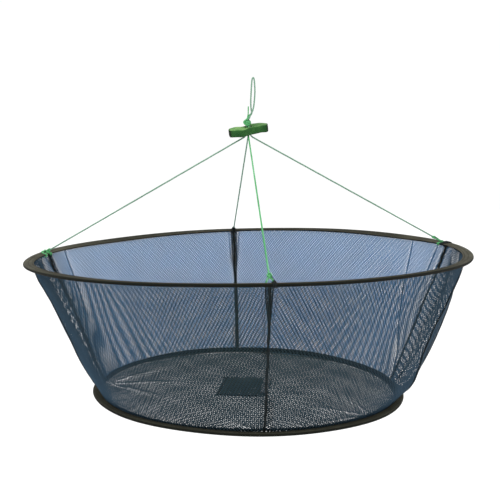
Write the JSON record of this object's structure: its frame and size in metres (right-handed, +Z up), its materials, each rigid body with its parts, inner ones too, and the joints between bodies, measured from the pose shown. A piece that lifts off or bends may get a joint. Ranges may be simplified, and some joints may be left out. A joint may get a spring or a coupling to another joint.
{
  "type": "folding crab trap",
  "caption": "Hanging drop net trap with two steel hoops in folded tape, a tapered net wall and floor, a bait pocket and a corded bridle with a foam float.",
  "frame": {"origin": "under the top of the haul loop, where the hook that carries the trap bears", "axes": "+Z up along the hanging trap's axis, -Y to the front, where the bait pocket's mouth is to the right, +X"},
  "size_m": [0.8, 0.8018, 0.5672],
  "materials": {
    "tape": "woven olive-brown polyester binding tape",
    "net": "fine dark blue knotless netting",
    "pouch_cloth": "doubled dark netting",
    "black_cord": "black braided cord",
    "green_cord": "green twisted polyethylene cord",
    "float_foam": "green closed-cell foam",
    "spring_steel": "bare drawn spring steel",
    "fastener": "black touch-fastener tape"
  },
  "bodies": {
    "haul_head": {"haul_loop": "green_cord", "haul_knot": "green_cord", "bridle_leg_front": "green_cord", "bridle_leg_right": "green_cord", "bridle_leg_back": "green_cord", "bridle_leg_left": "green_cord"},
    "float": {"float": "float_foam"},
    "top_hoop": {"top_hoop_sleeve": "tape", "top_hoop_wire": "spring_steel", "top_hoop_ferrule": "spring_steel", "hoop_tab_front": "black_cord", "hoop_tab_right": "black_cord", "hoop_tab_back": "black_cord", "hoop_tab_left": "black_cord", "leg_hitch_front": "green_cord", "leg_hitch_right": "green_cord", "leg_hitch_back": "green_cord", "leg_hitch_left": "green_cord", "leg_knot_front": "green_cord", "leg_knot_right": "green_cord", "leg_knot_back": "green_cord", "leg_knot_left": "green_cord", "side_net_front_right": "net", "side_net_back_right": "net", "side_net_back_left": "net", "side_net_front_left": "net", "seam_cord_front": "black_cord", "seam_cord_right": "black_cord", "seam_cord_back": "black_cord", "seam_cord_left": "black_cord"},
    "bottom_hoop": {"bottom_hoop_sleeve": "tape", "bottom_hoop_wire": "spring_steel", "bottom_hoop_ferrule": "spring_steel", "floor_net": "net", "bait_pouch": "pouch_cloth", "pouch_binding": "tape", "fastener_loop_strip": "fastener"},
    "pouch_flap": {"pouch_flap": "pouch_cloth", "fastener_hook_strip": "fastener"}
  },
  "joints": [
    {"name": "float_swivel", "type": "hinge", "parent": "haul_head", "child": "float", "pos_m": [0, 0, -0.093], "axis": [0, 0, 1], "continuous": true},
    {"name": "bridle_slack", "type": "slide", "parent": "haul_head", "child": "top_hoop", "axis": [0, 0, 1], "range_m": [0, 0.13], "deforming": ["bridle_leg_front", "bridle_leg_right", "bridle_leg_back", "bridle_leg_left"]},
    {"name": "net_collapse", "type": "slide", "parent": "top_hoop", "child": "bottom_hoop", "axis": [0, 0, 1], "range_m": [0, 0.243], "deforming": ["side_net_front_right", "side_net_back_right", "side_net_back_left", "side_net_front_left", "seam_cord_front", "seam_cord_right", "seam_cord_back", "seam_cord_left"]},
    {"name": "flap_hinge", "type": "hinge", "parent": "bottom_hoop", "child": "pouch_flap", "pos_m": [-0.01604, -0.00578, -0.5506], "axis": [-0.0872, -0.9962, 0], "range_deg": [0, 110]}
  ]
}
